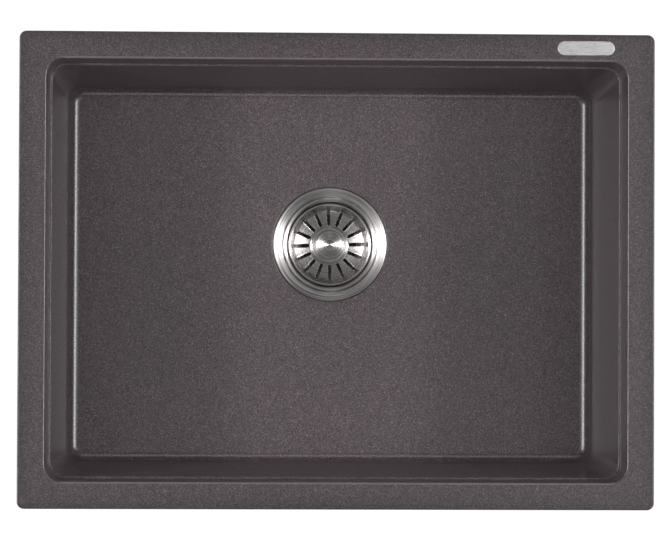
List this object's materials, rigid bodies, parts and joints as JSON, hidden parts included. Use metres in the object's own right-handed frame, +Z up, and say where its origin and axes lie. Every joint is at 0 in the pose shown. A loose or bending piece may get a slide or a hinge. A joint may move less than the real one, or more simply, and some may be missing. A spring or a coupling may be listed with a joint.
{
  "type": "composite kitchen sink",
  "caption": "Drop-in single-bowl composite stone sink with a lift-out basket strainer, tailpiece and swing-out worktop clamps.",
  "frame": {"origin": "middle of the worktop cut-out, at the worktop's top face, which the rim's underside rests on", "axes": "+X along the sink's long side, +Y to the wall behind the sink, +Z up"},
  "size_m": [0.61, 0.457, 0.3535],
  "materials": {
    "composite": "matt speckled quartz composite",
    "brushed_steel": "circular brushed stainless steel",
    "drawn_steel": "satin stainless steel tube",
    "badge_metal": "satin blank plate",
    "turned_brass": "turned brass",
    "zinc_casting": "die-cast zinc",
    "plated_steel": "zinc plated steel",
    "black_rubber": "matt black rubber",
    "white_plastic": "moulded plastic"
  },
  "bodies": {
    "root": {"sink_bowl": "composite", "badge_plate": "badge_metal", "strainer_body": "brushed_steel", "flange_gasket": "black_rubber", "under_gasket": "black_rubber", "slip_ring": "white_plastic", "lock_nut": "zinc_casting", "post_guide": "drawn_steel", "catch_spring": "drawn_steel", "tail_washer": "black_rubber", "tailpiece": "drawn_steel", "coupling_nut": "zinc_casting", "threaded_inserts": "turned_brass", "clamp_studs": "plated_steel"},
    "stopper_post": {"post": "turned_brass", "stopper_backing": "drawn_steel", "stopper_seal": "black_rubber", "post_nut": "turned_brass"},
    "strainer_basket": {"basket": "brushed_steel", "knob": "brushed_steel"},
    "nut_1": {"clamp_nut_1": "plated_steel"},
    "claw_1": {"clamp_claw_1": "plated_steel"},
    "nut_2": {"clamp_nut_2": "plated_steel"},
    "claw_2": {"clamp_claw_2": "plated_steel"},
    "nut_3": {"clamp_nut_3": "plated_steel"},
    "claw_3": {"clamp_claw_3": "plated_steel"},
    "nut_4": {"clamp_nut_4": "plated_steel"},
    "claw_4": {"clamp_claw_4": "plated_steel"},
    "nut_5": {"clamp_nut_5": "plated_steel"},
    "claw_5": {"clamp_claw_5": "plated_steel"},
    "nut_6": {"clamp_nut_6": "plated_steel"},
    "claw_6": {"clamp_claw_6": "plated_steel"}
  },
  "joints": [
    {"name": "basket_lift", "type": "slide", "parent": "root", "child": "stopper_post", "axis": [0, 0, 1], "range_m": [0, 0.295]},
    {"name": "basket_spin", "type": "hinge", "parent": "stopper_post", "child": "strainer_basket", "pos_m": [0, 0.032, -0.2295], "axis": [0, 0, 1], "continuous": true},
    {"name": "clamp_climb_1", "type": "slide", "parent": "root", "child": "nut_1", "axis": [0, 0, 1], "range_m": [0, 0.028]},
    {"name": "claw_swing_1", "type": "hinge", "parent": "nut_1", "child": "claw_1", "pos_m": [-0.17, 0.2142, -0.05], "axis": [0, 0, 1], "range_deg": [0, 90]},
    {"name": "clamp_climb_2", "type": "slide", "parent": "root", "child": "nut_2", "axis": [0, 0, 1], "range_m": [0, 0.028]},
    {"name": "claw_swing_2", "type": "hinge", "parent": "nut_2", "child": "claw_2", "pos_m": [0.17, 0.2142, -0.05], "axis": [0, 0, 1], "range_deg": [0, 90]},
    {"name": "clamp_climb_3", "type": "slide", "parent": "root", "child": "nut_3", "axis": [0, 0, 1], "range_m": [0, 0.028]},
    {"name": "claw_swing_3", "type": "hinge", "parent": "nut_3", "child": "claw_3", "pos_m": [0.2907, 0, -0.05], "axis": [0, 0, 1], "range_deg": [0, 90]},
    {"name": "clamp_climb_4", "type": "slide", "parent": "root", "child": "nut_4", "axis": [0, 0, 1], "range_m": [0, 0.028]},
    {"name": "claw_swing_4", "type": "hinge", "parent": "nut_4", "child": "claw_4", "pos_m": [0.17, -0.2142, -0.05], "axis": [0, 0, 1], "range_deg": [0, 90]},
    {"name": "clamp_climb_5", "type": "slide", "parent": "root", "child": "nut_5", "axis": [0, 0, 1], "range_m": [0, 0.028]},
    {"name": "claw_swing_5", "type": "hinge", "parent": "nut_5", "child": "claw_5", "pos_m": [-0.17, -0.2142, -0.05], "axis": [0, 0, 1], "range_deg": [0, 90]},
    {"name": "clamp_climb_6", "type": "slide", "parent": "root", "child": "nut_6", "axis": [0, 0, 1], "range_m": [0, 0.028]},
    {"name": "claw_swing_6", "type": "hinge", "parent": "nut_6", "child": "claw_6", "pos_m": [-0.2907, 0, -0.05], "axis": [0, 0, 1], "range_deg": [0, 90]}
  ]
}
